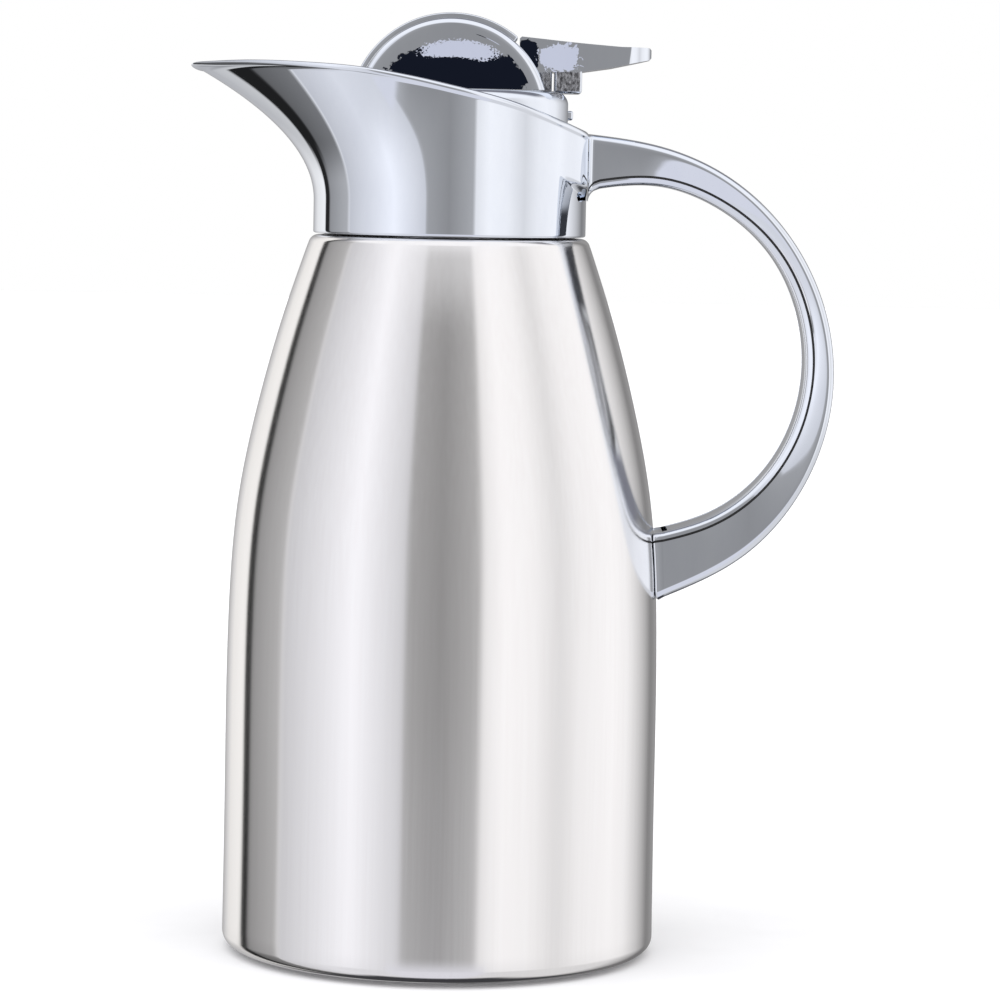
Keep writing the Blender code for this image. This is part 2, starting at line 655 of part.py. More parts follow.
def make_spring(steel, pivot):
    """The coil spring round the stem, between the stopper's cup and the push frame."""
    coil_r, wire_r, turns, per_turn, sides = 6.0, 0.5, 5, 10, 4
    low, high = 234.2, 249.1
    rings = []
    for k in range(turns * per_turn + 1):
        angle = 2 * math.pi * k / per_turn
        out = Vector((math.cos(angle), math.sin(angle), 0))
        centre = out * coil_r + Vector((0, 0, low + (high - low) * k / (turns * per_turn)))
        around = [2 * math.pi * s / sides for s in range(sides)]
        rings.append([centre + out * wire_r * math.cos(a) + Vector((0, 0, wire_r * math.sin(a))) for a in around])
    add_piece("valve_spring", loft(rings), steel, pivot)


def main():
    clear_scene()
    brushed = new_material("polished_steel", (0.78, 0.77, 0.75), 0.2, 1.0)
    inner_steel = new_material("inner_steel", (0.7, 0.7, 0.69), 0.35, 1.0)
    chrome = new_material("chrome", (0.85, 0.86, 0.88), 0.05, 1.0)
    plastic = new_material("black_plastic", (0.03, 0.03, 0.032), 0.4, 0.0)
    silicone = new_material("grey_silicone", (0.35, 0.35, 0.36), 0.6, 0.0)
    fastener = new_material("fastener_steel", (0.6, 0.6, 0.6), 0.3, 1.0)
    getter = new_material("getter_steel", (0.45, 0.45, 0.47), 0.45, 1.0)

    lid_pivot = new_pivot("lid_pivot", (0.0, 0.0, CAP_TOP))
    lever_pivot = new_pivot("lever_pivot", PIVOT)
    valve_pivot = new_pivot("valve_pivot", (0.0, 0.0, STEM_Z[0]))

    make_outer_shell(brushed)
    make_inner_flask(inner_steel)
    make_base(brushed, getter, silicone)
    make_collar(chrome)
    make_neck_parts(plastic, silicone)
    make_handle(chrome, fastener)

    make_cap(chrome, lid_pivot)
    make_cheek("dome_cheek_left", -1, chrome, lid_pivot)
    make_cheek("dome_cheek_right", 1, chrome, lid_pivot)
    make_arch(chrome, lid_pivot)
    make_stopper(plastic, silicone, lid_pivot)
    make_lid_floor(plastic, lid_pivot)
    make_lid_fasteners(fastener, lid_pivot)

    make_lever(chrome, lever_pivot)
    make_valve(plastic, silicone, fastener, valve_pivot)
    make_spring(fastener, lid_pivot)


main()
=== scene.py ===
"""Looks for the vacuum coffee pot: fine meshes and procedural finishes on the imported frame, in a studio.

+Z is up, +X points to the handle and -X to the spout. Shapes are worked out in millimetres and scaled as
they become meshes.
"""

import json
import math

import bmesh
import bpy
import numpy as np
from mathutils import Matrix, Vector


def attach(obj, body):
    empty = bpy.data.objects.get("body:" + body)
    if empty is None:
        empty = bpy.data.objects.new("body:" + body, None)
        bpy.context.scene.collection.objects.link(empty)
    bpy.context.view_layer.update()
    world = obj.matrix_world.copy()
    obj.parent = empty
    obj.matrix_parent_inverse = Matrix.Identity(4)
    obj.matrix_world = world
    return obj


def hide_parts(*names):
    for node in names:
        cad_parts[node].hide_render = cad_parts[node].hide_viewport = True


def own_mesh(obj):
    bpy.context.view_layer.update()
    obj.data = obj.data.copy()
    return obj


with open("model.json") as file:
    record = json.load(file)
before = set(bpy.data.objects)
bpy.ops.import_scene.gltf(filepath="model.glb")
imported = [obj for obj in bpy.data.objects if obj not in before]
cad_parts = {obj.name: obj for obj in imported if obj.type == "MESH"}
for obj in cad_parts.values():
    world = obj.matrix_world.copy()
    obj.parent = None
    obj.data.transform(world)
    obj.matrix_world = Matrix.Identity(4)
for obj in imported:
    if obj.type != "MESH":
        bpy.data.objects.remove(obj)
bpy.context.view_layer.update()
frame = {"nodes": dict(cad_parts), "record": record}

MM = 0.001
GAP = 0.3
ROUND_STEPS = 160

# Flask
BODY_R = 65.0
SHELL_FOOT_Z = 1.2
SHELL_CORNER_R = 4.0
SHEET = 0.8
SHOULDER_Z = 214.9
SHOULDER_R = 3.0
NECK_R = 31.0
NECK_TOP_Z = 225.7

# Pouring head
COLLAR_R = 40.6
COLLAR_Z = 215.4
COLLAR_WALL = 2.2
COLLAR_FLOOR = (218.5, 221.5)
SPOUT_TIP_X = 77.0
BEAK_LOW_Z = 225.0
BEAK_CURVE = 0.0237
# The boss behind the collar, which carries the handle: a flat that blends into the round wall.
PAD_FLAT = math.radians(20)
PAD_BLEND = math.radians(37)
PAD_LOW_Z = 227.4
PAD_DROOP = 5.6
PAD_HALF_WIDTH = 22.0
HEAD_STEPS = 240

# Handle
HANDLE_ROOT_X = 40.9
ROOT_FILLET_R = 3.4
ROOT_SPREAD_R = 1.4
HALF_WIDTH = 10.5
COVER_HALF_WIDTH = 7.0
COVER_T = 1.4
CHANNEL_DEPTH = 3.0
# How wide and how deep the groove beside each inner edge is.
GROOVE = (0.7, 0.5)
# How deep the channel is where no cover lies in it.
SHALLOW = 0.3
# Where the cover starts and stops, in stations from the upper root and back from the lower one.
COVERED = (6, -2)

# Lid
CAP_R = 35.9
CAP_TOP = 258.4
CAP_CORNER_R = 4.0
CAP_LOW = 243.8
NOTCH_HALF_WIDTH = 9.9
DOME_CENTRE_Z = 250.6
ARCH_R = 30.5
ARCH_T = 2.5
ARCH_HALF_WIDTH = 9.7
ARCH_REAR_X = 19.4
CHEEK_R = 28.8
CHEEK_Y = (10.0, 14.5)
CHEEK_BEVEL = 2.3
PIVOT = (17.0, 266.0)
LEVER_TIP_X = 59.1
LEVER_LOW_Z = 263.0
LEVER_END_R = 8.0
LID_SCREW_CIRCLE_R = 30
LID_SCREW_ANGLES = (60, 180, 300)

# ---------------------------------------------------------------- mesh helpers


def add_piece(name, bm, material, body, nodes=(), sharp=40):
    """A shown piece from a mesh in millimetres, riding on a body and standing for CAD nodes."""
    bmesh.ops.remove_doubles(bm, verts=bm.verts, dist=1e-4)
    bmesh.ops.recalc_face_normals(bm, faces=bm.faces)
    bmesh.ops.scale(bm, vec=(MM, MM, MM), verts=bm.verts)
    mesh = bpy.data.meshes.new(name)
    bm.to_mesh(mesh)
    bm.free()
    piece = bpy.data.objects.new(name, mesh)
    bpy.context.scene.collection.objects.link(piece)
    for entry in material if isinstance(material, (list, tuple)) else [material]:
        mesh.materials.append(entry)
    shade(mesh, sharp)
    if body:
        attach(piece, body)
    if nodes:
        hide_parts(*nodes)
    return piece


def shade(mesh, sharp):
    mesh.shade_smooth()
    mesh.set_sharp_from_angle(angle=math.radians(sharp))


def tool(bm):
    """A hidden Boolean tool from a mesh in millimetres."""
    piece = add_piece("tool", bm, [], None)
    piece.hide_render = True
    return piece


def boolean(piece, bm, operation):
    other = tool(bm)
    modifier = piece.modifiers.new("boolean", "BOOLEAN")
    modifier.operation = operation
    modifier.solver = "EXACT"
    modifier.object = other
    apply_modifiers(piece)
    bpy.data.objects.remove(other, do_unlink=True)
    shade(piece.data, 40)


def apply_modifiers(piece):
    graph = bpy.context.evaluated_depsgraph_get()
    graph.update()
    mesh = bpy.data.meshes.new_from_object(piece.evaluated_get(graph))
    piece.modifiers.clear()
    piece.data = mesh


def bevel_edges(piece, width, segments, angle):
    modifier = piece.modifiers.new("bevel", "BEVEL")
    modifier.width = width * MM
    modifier.segments = segments
    modifier.limit_method = "ANGLE"
    modifier.angle_limit = math.radians(angle)
    apply_modifiers(piece)
    shade(piece.data, 40)


def flatten_shading(piece):
    """Large flat faces keep their own direction, and only the narrow bevels are shaded round."""
    modifier = piece.modifiers.new("weighted", "WEIGHTED_NORMAL")
    modifier.keep_sharp = True
    apply_modifiers(piece)


def arc(centre, radius, start, end, count):
    angles = np.radians(np.linspace(start, end, count))
    return [(centre[0] + radius * math.cos(a), centre[1] + radius * math.sin(a)) for a in angles]


def spline(points, per_span):
    """A natural cubic spline through the points, which keeps its curvature even for mirror finishes."""
    knots = np.array(points, float)
    at = np.concatenate([[0.0], np.cumsum(np.linalg.norm(np.diff(knots, axis=0), axis=1))])
    count = len(knots)
    step = np.diff(at)
    system, right = np.eye(count), np.zeros_like(knots)
    for i in range(1, count - 1):
        system[i, i - 1 : i + 2] = step[i - 1], 2 * (step[i - 1] + step[i]), step[i]
        right[i] = 6 * ((knots[i + 1] - knots[i]) / step[i] - (knots[i] - knots[i - 1]) / step[i - 1])
    bend = np.linalg.solve(system, right)
    curve = []
    for i in range(count - 1):
        for t in np.arange(per_span) / per_span * step[i]:
            left = step[i] - t
            curve.append(
                (bend[i] * left**3 + bend[i + 1] * t**3) / (6 * step[i])
                + (knots[i] / step[i] - bend[i] * step[i] / 6) * left
                + (knots[i + 1] / step[i] - bend[i + 1] * step[i] / 6) * t
            )
    return [tuple(point) for point in curve] + [tuple(knots[-1])]


def smooth_outline(points, rounds=3):
    """Cuts the corners of an open outline again and again, so that it ends as a smooth curve."""
    line = np.array(points, float)
    for _ in range(rounds):
        near, far = 0.75 * line[:-1] + 0.25 * line[1:], 0.25 * line[:-1] + 0.75 * line[1:]
        middle = np.empty((2 * len(near), line.shape[1]))
        middle[0::2], middle[1::2] = near, far
        line = np.vstack([line[:1], middle, line[-1:]])
    return line


def offset_left(points, distance):
    line = np.array(points, float)
    step = np.diff(line, axis=0)
    side = np.column_stack([-step[:, 1], step[:, 0]]) / np.linalg.norm(step, axis=1)[:, None]
    before, after = np.vstack([side[:1], side]), np.vstack([side, side[-1:]])
    middle = before + after
    middle /= np.linalg.norm(middle, axis=1)[:, None]
    stretch = distance / np.sum(middle * before, axis=1)
    return [tuple(point) for point in line + middle * stretch[:, None]]


def fillet(points, radius, steps=4):
    """Rounds each corner of a closed outline; corners on the turning axis stay."""
    count = len(points)
    made = []
    for i, here in enumerate(points):
        p, a, b = Vector(here), Vector(points[i - 1]), Vector(points[(i + 1) % count])
        to_a, to_b = a - p, b - p
        turn = math.pi - to_a.angle(to_b)
        if p.x < 1e-6 or turn < math.radians(20):
            made.append(here)
            continue
        reach = min(radius * math.tan(turn / 2), 0.45 * to_a.length, 0.45 * to_b.length)
        start, end = p + to_a.normalized() * reach, p + to_b.normalized() * reach
        for t in np.linspace(0, 1, steps + 1):
            made.append(tuple((1 - t) ** 2 * start + 2 * t * (1 - t) * p + t**2 * end))
    return made


def turned(profile, steps=ROUND_STEPS):
    """A closed (radius, height) outline turned about the pot's axis; it meets itself on the axis."""
    bm = bmesh.new()
    rows = []
    for r, z in profile:
        if r < 1e-6:
            rows.append([bm.verts.new((0, 0, z))] * steps)
            continue
        angles = [2 * math.pi * k / steps for k in range(steps)]
        rows.append([bm.verts.new((r * math.cos(a), r * math.sin(a), z)) for a in angles])
    for lower, upper in zip(rows, rows[1:] + rows[:1]):
        for k in range(steps):
            j = (k + 1) % steps
            corners = []
            for vert in (lower[k], lower[j], upper[j], upper[k]):
                if vert not in corners:
                    corners.append(vert)
            if len(corners) > 2:
                bm.faces.new(corners)
    return bm


def loft(rings, closed=False):
    bm = bmesh.new()
    rows = [[bm.verts.new(point) for point in line] for line in rings]
    pairs = list(zip(rows, rows[1:]))
    if closed:
        pairs.append((rows[-1], rows[0]))
    for lower, upper in pairs:
        for i in range(len(lower)):
            j = (i + 1) % len(lower)
            bm.faces.new((lower[i], lower[j], upper[j], upper[i]))
    if not closed:
        bm.faces.new(rows[0][::-1])
        bm.faces.new(rows[-1])
    return bm


def prism(outline, y_low, y_high):
    return loft([[(x, y, z) for x, z in outline] for y in (y_low, y_high)])


def box(low, high, round_r=0.0):
    low, high = Vector(low), Vector(high)
    bm = bmesh.new()
    bmesh.ops.create_cube(bm, size=1.0)
    bmesh.ops.scale(bm, vec=high - low, verts=bm.verts)
    bmesh.ops.translate(bm, vec=(low + high) / 2, verts=bm.verts)
    if round_r:
        bmesh.ops.bevel(bm, geom=bm.edges[:], offset=round_r, segments=4, profile=0.5, affect="EDGES")
    return bm


def rod(start, end, radius):
    start, end = Vector(start), Vector(end)
    along = end - start
    turn = along.to_track_quat("Z", "Y").to_matrix().to_4x4()
    bm = bmesh.new()
    bmesh.ops.create_cone(
        bm,
        cap_ends=True,
        segments=32,
        radius1=radius,
        radius2=radius,
        depth=along.length,
        matrix=Matrix.Translation((start + end) / 2) @ turn,
    )
    return bm


def spin(bm, degrees):
    """Turns a mesh about the pot's axis."""
    bmesh.ops.rotate(bm, matrix=Matrix.Rotation(math.radians(degrees), 3, "Z"), verts=bm.verts)
    return bm


def smoothstep(value, low, high):
    share = min(max((value - low) / (high - low), 0.0), 1.0)
    return share * share * (3 - 2 * share)


# ---------------------------------------------------------------- materials


class Nodes:
    """Short words for building a material's or the world's node tree."""

    def __init__(self, tree):
        self.tree = tree

    def add(self, kind, **settings):
        node = self.tree.nodes.new(kind)
        for name, value in settings.items():
            setattr(node, name, value)
        return node

    def link(self, out, into):
        self.tree.links.new(out, into)

    def feed(self, socket, value):
        if hasattr(value, "is_output"):
            self.link(value, socket)
        else:
            socket.default_value = value

    def math(self, operation, a, b=0.0):
        node = self.add("ShaderNodeMath", operation=operation)
        self.feed(node.inputs[0], a)
        self.feed(node.inputs[1], b)
        return node.outputs[0]

    def remap(self, value, low, high, to_low=0.0, to_high=1.0):
        node = self.add("ShaderNodeMapRange", interpolation_type="SMOOTHSTEP")
        for socket, number in zip(node.inputs, (value, low, high, to_low, to_high)):
            self.feed(socket, number)
        return node.outputs[0]

    def ramp(self, value, stops):
        node = self.add("ShaderNodeValToRGB")
        elements = node.color_ramp.elements
        while len(elements) < len(stops):
            elements.new(0.5)
        for element, (place, colour) in zip(elements, stops):
            element.position = place
            element.color = (*colour, 1.0)
        self.feed(node.inputs[0], value)
        return node.outputs[0]

    def mix(self, share, a, b):
        node = self.add("ShaderNodeMix", data_type="RGBA")
        self.feed(node.inputs[0], share)
        self.feed(node.inputs[6], a)
        self.feed(node.inputs[7], b)
        return node.outputs[2]

    def place(self, scale):
        """The piece's own coordinates in metres, stretched by a scale along each axis."""
        coordinates = self.add("ShaderNodeTexCoord")
        mapping = self.add("ShaderNodeMapping")
        mapping.inputs["Scale"].default_value = scale
        self.link(coordinates.outputs["Object"], mapping.inputs["Vector"])
        return mapping.outputs[0]

    def noise(self, place, scale, detail=2.0, rough=0.5):
        node = self.add("ShaderNodeTexNoise")
        self.link(place, node.inputs["Vector"])
        node.inputs["Scale"].default_value = scale
        node.inputs["Detail"].default_value = detail
        node.inputs["Roughness"].default_value = rough
        return node.outputs["Fac"]

    def bump(self, height, strength, distance):
        node = self.add("ShaderNodeBump")
        node.inputs["Strength"].default_value = strength
        node.inputs["Distance"].default_value = distance
        self.link(height, node.inputs["Height"])
        return node.outputs[0]


def new_material(name, metallic):
    material = bpy.data.materials.new(name)
    material.use_nodes = True
    shader = material.node_tree.nodes["Principled BSDF"]
    shader.inputs["Metallic"].default_value = metallic
    return material, shader, Nodes(material.node_tree)


def polished_steel(name, light, dark, low, high):
    """Polished sheet: fine grain along the height, and a soft haze that blurs reflections slightly."""
    material, shader, nodes = new_material(name, 1.0)
    grain = nodes.noise(nodes.place((900.0, 900.0, 12.0)), 1.0, 3.0, 0.6)
    cloud = nodes.noise(nodes.place((14.0, 14.0, 5.0)), 1.0, 2.0)
    colour = nodes.ramp(grain, [(0.3, dark), (0.7, light)])
    nodes.link(colour, shader.inputs["Base Color"])
    both = nodes.math("ADD", nodes.math("MULTIPLY", grain, 0.45), nodes.math("MULTIPLY", cloud, 0.55))
    nodes.link(nodes.remap(both, 0.3, 0.7, low, high), shader.inputs["Roughness"])
    nodes.link(nodes.bump(grain, 0.008, 0.00002), shader.inputs["Normal"])
    return material


def mirror_chrome(name, light, dark, low, high):
    """Plated plastic: mirror bright, with a very slight ripple and faint wiping marks."""
    material, shader, nodes = new_material(name, 1.0)
    ripple = nodes.noise(nodes.place((42.0, 42.0, 42.0)), 1.0, 1.0)
    haze = nodes.noise(nodes.place((260.0, 260.0, 90.0)), 1.0, 4.0, 0.65)
    nodes.link(nodes.ramp(haze, [(0.35, dark), (0.65, light)]), shader.inputs["Base Color"])
    nodes.link(nodes.remap(haze, 0.4, 0.8, low, high), shader.inputs["Roughness"])
    nodes.link(nodes.bump(ripple, 0.02, 0.0003), shader.inputs["Normal"])
    return material


def grained_chrome(name):
    """The lever's block: plated over a coarse moulded grain, so it looks dark and speckled."""
    material, shader, nodes = new_material(name, 1.0)
    grain = nodes.noise(nodes.place((1500.0, 1500.0, 700.0)), 1.0, 4.0, 0.7)
    colour = nodes.ramp(grain, [(0.38, (0.12, 0.12, 0.13)), (0.6, (0.62, 0.63, 0.66))])
    nodes.link(colour, shader.inputs["Base Color"])
    nodes.link(nodes.remap(grain, 0.3, 0.7, 0.12, 0.3), shader.inputs["Roughness"])
    nodes.link(nodes.bump(grain, 0.7, 0.0002), shader.inputs["Normal"])
    return material


def moulded(name, light, dark, low, high, grain_scale, bump_strength):
    """Plastic or silicone with a fine moulded grain."""
    material, shader, nodes = new_material(name, 0.0)
    grain = nodes.noise(nodes.place((grain_scale,) * 3), 1.0, 3.0, 0.6)
    cloud = nodes.noise(nodes.place((60.0, 60.0, 60.0)), 1.0, 2.0)
    nodes.link(nodes.ramp(cloud, [(0.35, dark), (0.65, light)]), shader.inputs["Base Color"])
    nodes.link(nodes.remap(grain, 0.3, 0.7, low, high), shader.inputs["Roughness"])
    nodes.link(nodes.bump(grain, bump_strength, 0.0001), shader.inputs["Normal"])
    return material


def turned_steel(name):
    """Plain screws, stem and bracket: fine turning rings in grey steel."""
    material, shader, nodes = new_material(name, 1.0)
    grain = nodes.noise(nodes.place((700.0, 700.0, 2400.0)), 1.0, 3.0, 0.6)
    colour = nodes.ramp(grain, [(0.3, (0.48, 0.48, 0.48)), (0.7, (0.66, 0.66, 0.65))])
    nodes.link(colour, shader.inputs["Base Color"])
    nodes.link(nodes.remap(grain, 0.3, 0.7, 0.22, 0.38), shader.inputs["Roughness"])
    nodes.link(nodes.bump(grain, 0.2, 0.00005), shader.inputs["Normal"])
    return material


STEEL = polished_steel("polished_steel", (0.965, 0.955, 0.95), (0.945, 0.93, 0.925), 0.10, 0.14)
FLASK = polished_steel("flask_steel", (0.80, 0.79, 0.78), (0.70, 0.69, 0.68), 0.24, 0.36)
CHROME = mirror_chrome("chrome", (0.88, 0.92, 0.985), (0.86, 0.90, 0.97), 0.03, 0.055)
# The flat-sided plates of the lid are polished to a clear mirror.
CLEAR_CHROME = mirror_chrome("clear_chrome", (0.88, 0.92, 0.985), (0.86, 0.90, 0.97), 0.0, 0.003)
GRAINED = grained_chrome("grained_chrome")
PLASTIC = moulded("black_plastic", (0.034, 0.034, 0.036), (0.022, 0.022, 0.024), 0.32, 0.48, 1800.0, 0.15)
SILICONE = moulded("grey_silicone", (0.40, 0.40, 0.41), (0.33, 0.33, 0.34), 0.5, 0.62, 1200.0, 0.08)
FASTENER = turned_steel("fastener_steel")


# ---------------------------------------------------------------- flask


def shell_side():
    side = [(65.0, 5.2), (64.8, 45.0), (64.3, 103.0), (61.9, 136.0), (56.0, 166.0), (48.6, 193.0)]
    return spline(side + [(42.0, 212.8)], 10)


def body_radius(z):
    side = shell_side()
    return float(np.interp(z, [p[1] for p in side], [p[0] for p in side]))


def make_outer_shell():
    foot = arc((BODY_R - SHELL_CORNER_R, SHELL_FOOT_Z + SHELL_CORNER_R), SHELL_CORNER_R, -90, 0, 12)
    shoulder = arc((39.1, SHOULDER_Z - SHOULDER_R), SHOULDER_R, 17, 90, 10)
    neck = [(NECK_R + 0.8, SHOULDER_Z), (NECK_R, SHOULDER_Z + 0.8), (NECK_R, NECK_TOP_Z)]
    outside = [(59.5, SHELL_FOOT_Z)] + foot + shell_side()[1:-1] + shoulder + neck
    inside = offset_left(outside, SHEET)
    wall = turned(outside + inside[::-1], 256)
    add_piece("outer_shell_fine", wall, STEEL, "root", ["outer_shell"])


def make_inner_flask():
    side = [(58.2, 20.0), (57.9, 60.0), (57.3, 101.0), (54.9, 136.0), (48.6, 166.0), (38.6, 192.0)]
    base = [(0, 8.0)] + arc((46.2, 20.0), 12.0, -90, 0, 10)
    neck = smooth_outline([(38.6, 192.0), (31.2, 206.0), (29.2, 214.0), (29.2, NECK_TOP_Z + GAP)], 2)[1:]
    outside = base + spline(side, 6)[1:] + [tuple(p) for p in neck]
    inside = [(max(r, 0.0), z) for r, z in offset_left(outside, SHEET)]
    inside[0] = (0.0, 8.0 + SHEET)
    lip_z = NECK_TOP_Z + GAP
    inside[-1] = (28.4, lip_z + SHEET)
    lip = [(NECK_R, lip_z), (NECK_R, lip_z + SHEET)]
    wall = turned(outside + lip + inside[::-1])
    add_piece("inner_flask_fine", wall, FLASK, "root", ["inner_flask"])


def make_base():
    plate = [(0, 1.9), (59.0, 1.9), (59.2, 1.7), (59.2, 1.4), (59.0, 1.2), (52.0, 1.2), (0, 1.2)]
    add_piece("base_plate_fine", turned(plate), STEEL, "root", ["base_plate"])
    foot = fillet([(0, 0.9), (56.0, 0.9), (56.0, 0.0), (0, 0.0)], 0.3)
    add_piece("foot_pad_fine", turned(foot), SILICONE, "root", ["foot_pad"])


# ---------------------------------------------------------------- pouring head


def spout_reach(z):
    """The beak swings out from the collar along a parabola."""
    return COLLAR_R + 0.1 + BEAK_CURVE * max(z - BEAK_LOW_Z, 0.0) ** 2


# The rim's height from the spout's tip to the handle, seen from the side.
RIM_LINE = spline(
    [
        (-80.0, 262.8), (-77.0, 264.5), (-71.0, 265.4), (-58.0, 265.8), (-41.0, 265.2), (-27.0, 264.1),
        (-16.3, 262.5), (-6.4, 260.7), (2.4, 258.8), (18.9, 254.8), (27.2, 251.9), (35.2, 248.7),
        (42.0, 245.8),
    ],
    12,
)


def rim_height(x):
    return float(np.interp(x, [p[0] for p in RIM_LINE], [p[1] for p in RIM_LINE]))


def head_point(angle, reach, radius, pad):
    """A point of the head's plan. pad, from 0 to 1, is how far the boss's flat stands out."""
    along, across = math.cos(angle), math.sin(angle)
    if along < 0:
        # The beak is full where it leaves the collar and narrow at its tip.
        beak = reach - radius
        forward = radius * -along + beak * (-along) ** 2.3
        return -forward, (radius + beak * (0.87 * along**2 - 1.34 * along**4)) * across
    aside = min(angle, 2 * math.pi - angle)
    share = smoothstep(aside, PAD_FLAT, PAD_BLEND)
    flat = radius / max(along, math.cos(PAD_FLAT))
    spread = radius + (flat - radius) * (1 - share) * pad
    return spread * along, spread * across


def head_ring(share, low, inset, drop, pad):
    """One ring of the head, a share of the way up to the rim. inset may be a function of the angle."""
    points = []
    for k in range(HEAD_STEPS):
        angle = 2 * math.pi * k / HEAD_STEPS
        inward = inset(angle) if callable(inset) else inset
        tip_x, _ = head_point(angle, SPOUT_TIP_X - inward, COLLAR_R - inward, pad)
        z = low + share * (rim_height(tip_x) - drop - low)
        # The boss ends below in a drooping edge.
        edge = PAD_LOW_Z + PAD_DROOP * (COLLAR_R * math.sin(angle) / PAD_HALF_WIDTH) ** 2
        stand_out = pad * smoothstep(z, edge - 1.1, edge + 0.9)
        x, y = head_point(angle, spout_reach(z) - inward, COLLAR_R - inward, stand_out)
        points.append((x, y, z))
    return points


def bead(angle):
    """How far the rim's bead stands out: a little everywhere, and more at the spout's tip."""
    aside = abs(angle - math.pi)
    return 0.3 + 0.9 * math.exp(-((aside / 0.22) ** 2))


def flat_ring(radius, z):
    angles = [2 * math.pi * k / HEAD_STEPS for k in range(HEAD_STEPS)]
    return [(radius * math.cos(a), radius * math.sin(a), z) for a in angles]


def make_collar():
    rim_r = COLLAR_WALL / 2
    rim_start, rim_end = -50, 168
    outside = [head_ring(0, COLLAR_Z, 0.5, 0, 1), head_ring(0, COLLAR_Z + 0.15, 0.15, 0, 1)]
    outside += [head_ring(s, COLLAR_Z + 0.5, 0.0, 2.4 * rim_r, 1) for s in np.linspace(0, 1, 90)]
    rim = []
    for a in np.linspace(0, 1, 14):

        def inset(angle, share=a):
            out = bead(angle)
            start = -math.acos(max(1 - out / rim_r, -0.6))
            turn = start + share * (math.radians(rim_end) - start)
            return rim_r - out - rim_r * math.cos(turn)

        turn = math.radians(rim_start + a * (rim_end - rim_start))
        rim.append(head_ring(1, COLLAR_Z, inset, rim_r * (1 - math.sin(turn)), 1))
    inside = [head_ring(s, COLLAR_FLOOR[1], COLLAR_WALL, rim_r, 0.4) for s in np.linspace(1, 0, 26)]
    floor = [
        flat_ring(NECK_R + 0.6, COLLAR_FLOOR[1]),
        flat_ring(NECK_R + 0.6, COLLAR_FLOOR[0]),
        flat_ring(COLLAR_R - COLLAR_WALL, COLLAR_FLOOR[0]),
        flat_ring(COLLAR_R - COLLAR_WALL, COLLAR_Z),
    ]
    wall = loft(outside + rim + inside + floor, closed=True)
    add_piece("collar_fine", wall, CHROME, "root", ["collar"], 50)


def make_neck_parts():
    gasket = fillet([(32.5, 218.2), (38.0, 218.2), (38.0, 215.2), (32.5, 215.2)], 0.3)
    add_piece("neck_gasket_fine", turned(gasket), SILICONE, "root", ["neck_gasket"])
    nut = fillet([(31.3, 225.8), (36.8, 225.8), (36.8, 221.8), (31.3, 221.8)], 0.5)
    add_piece("clamp_ring_fine", turned(nut), PLASTIC, "root", ["clamp_ring"])
    mouth = fillet([(28.7, 228.1), (NECK_R, 228.1), (NECK_R, 227.1), (28.7, 227.1)], 0.25)
    add_piece("mouth_gasket_fine", turned(mouth), SILICONE, "root", ["mouth_gasket"])
    under, top = 228.4, 230.4
    liner = [(26.5, top), (37.8, top), (37.8, under), (28.0, under), (28.0, 213.0), (26.5, 213.0)]
    tube = turned(fillet(liner, 0.6))
    piece = add_piece("pour_liner_fine", tube, PLASTIC, "root", ["pour_liner"])
    for side in (-1, 1):
        near, far = sorted((side * 2.5, side * 4.5))
        boolean(piece, box((27.2, near, under + 1.0), (31.5, far, 236.5), 0.4), "UNION")


# ---------------------------------------------------------------- handle


def handle_edges():
    outer = [(HANDLE_ROOT_X, 246.1), (62.5, 242.8), (83.7, 233.6), (102.2, 215.7), (113.1, 192.4)]
    outer += [(114.9, 167.2), (106.3, 140.9), (89.7, 121.3), (64.0, 107.7)]
    inner = [(HANDLE_ROOT_X, 229.4), (61.6, 231.1), (79.5, 225.1), (96.0, 211.2), (105.4, 190.5)]
    inner += [(105.4, 166.7), (96.3, 146.9), (80.1, 133.3), (64.0, 127.9)]
    return spline(outer, 12), spline(inner, 12)


def handle_half_outline(depth, grip):
    """Half the section as (half width, depth) points from the inner lip to the middle of the outer edge.

    At the roots the sides are flat; along the grip they lean in towards the inner edge. A groove runs
    beside the rounded inner edge.
    """
    lip, half = COVER_HALF_WIDTH + GAP, HALF_WIDTH
    root = [(lip, 0), (8.9, 0.0), (10.0, 0.4), (half, 1.3), (half, 2.1), (half, 0.45 * depth)]
    root += [(half, depth - 3.4), (half, depth - 2.2), (10.0, depth - 0.7), (8.4, depth)]
    root += [(4.0, depth), (0, depth)]
    held = [(lip, 0), (7.8, 0.0), (8.4, 0.35), (8.95, 1.1), (9.4, 2.1), (10.0, 0.45 * depth)]
    held += [(10.75, depth - 2.5), (10.85, depth - 1.5), (10.0, depth - 0.35), (8.4, depth)]
    held += [(4.0, depth), (0, depth)]
    line = [np.array(a) * (1 - grip) + np.array(b) * grip for a, b in zip(root, held)]
    width, inward = GROOVE
    near, far = line[4], line[4] + (0, width)
    edge, side = smooth_outline(line[:5], 3), smooth_outline([far] + line[5:], 3)
    bottom = [near + (-inward, 0.1), far + (-inward, -0.1)]
    return [tuple(point) for point in [*edge, *bottom, *side]]


def handle_frame(outer, inner):
    base = Vector((inner[0], 0, inner[1]))
    reach = Vector((outer[0], 0, outer[1])) - base
    return base, reach.normalized(), reach.length


def handle_ring(outer, inner, grip, floor, widen=0.0):
    """One closed section: the outside from lip to lip, then the walls and floor of the inner channel."""
    base, way, depth = handle_frame(outer, inner)
    half = handle_half_outline(depth, grip)
    channel = COVER_HALF_WIDTH + GAP
    outline = [(y * (1 + widen / HALF_WIDTH), n) for y, n in half]
    outline += [(-y, n) for y, n in reversed(outline[:-1])]
    outline += [(-channel, floor), (channel, floor)]
    return [base + way * n + Vector((0, y, 0)) for y, n in outline]


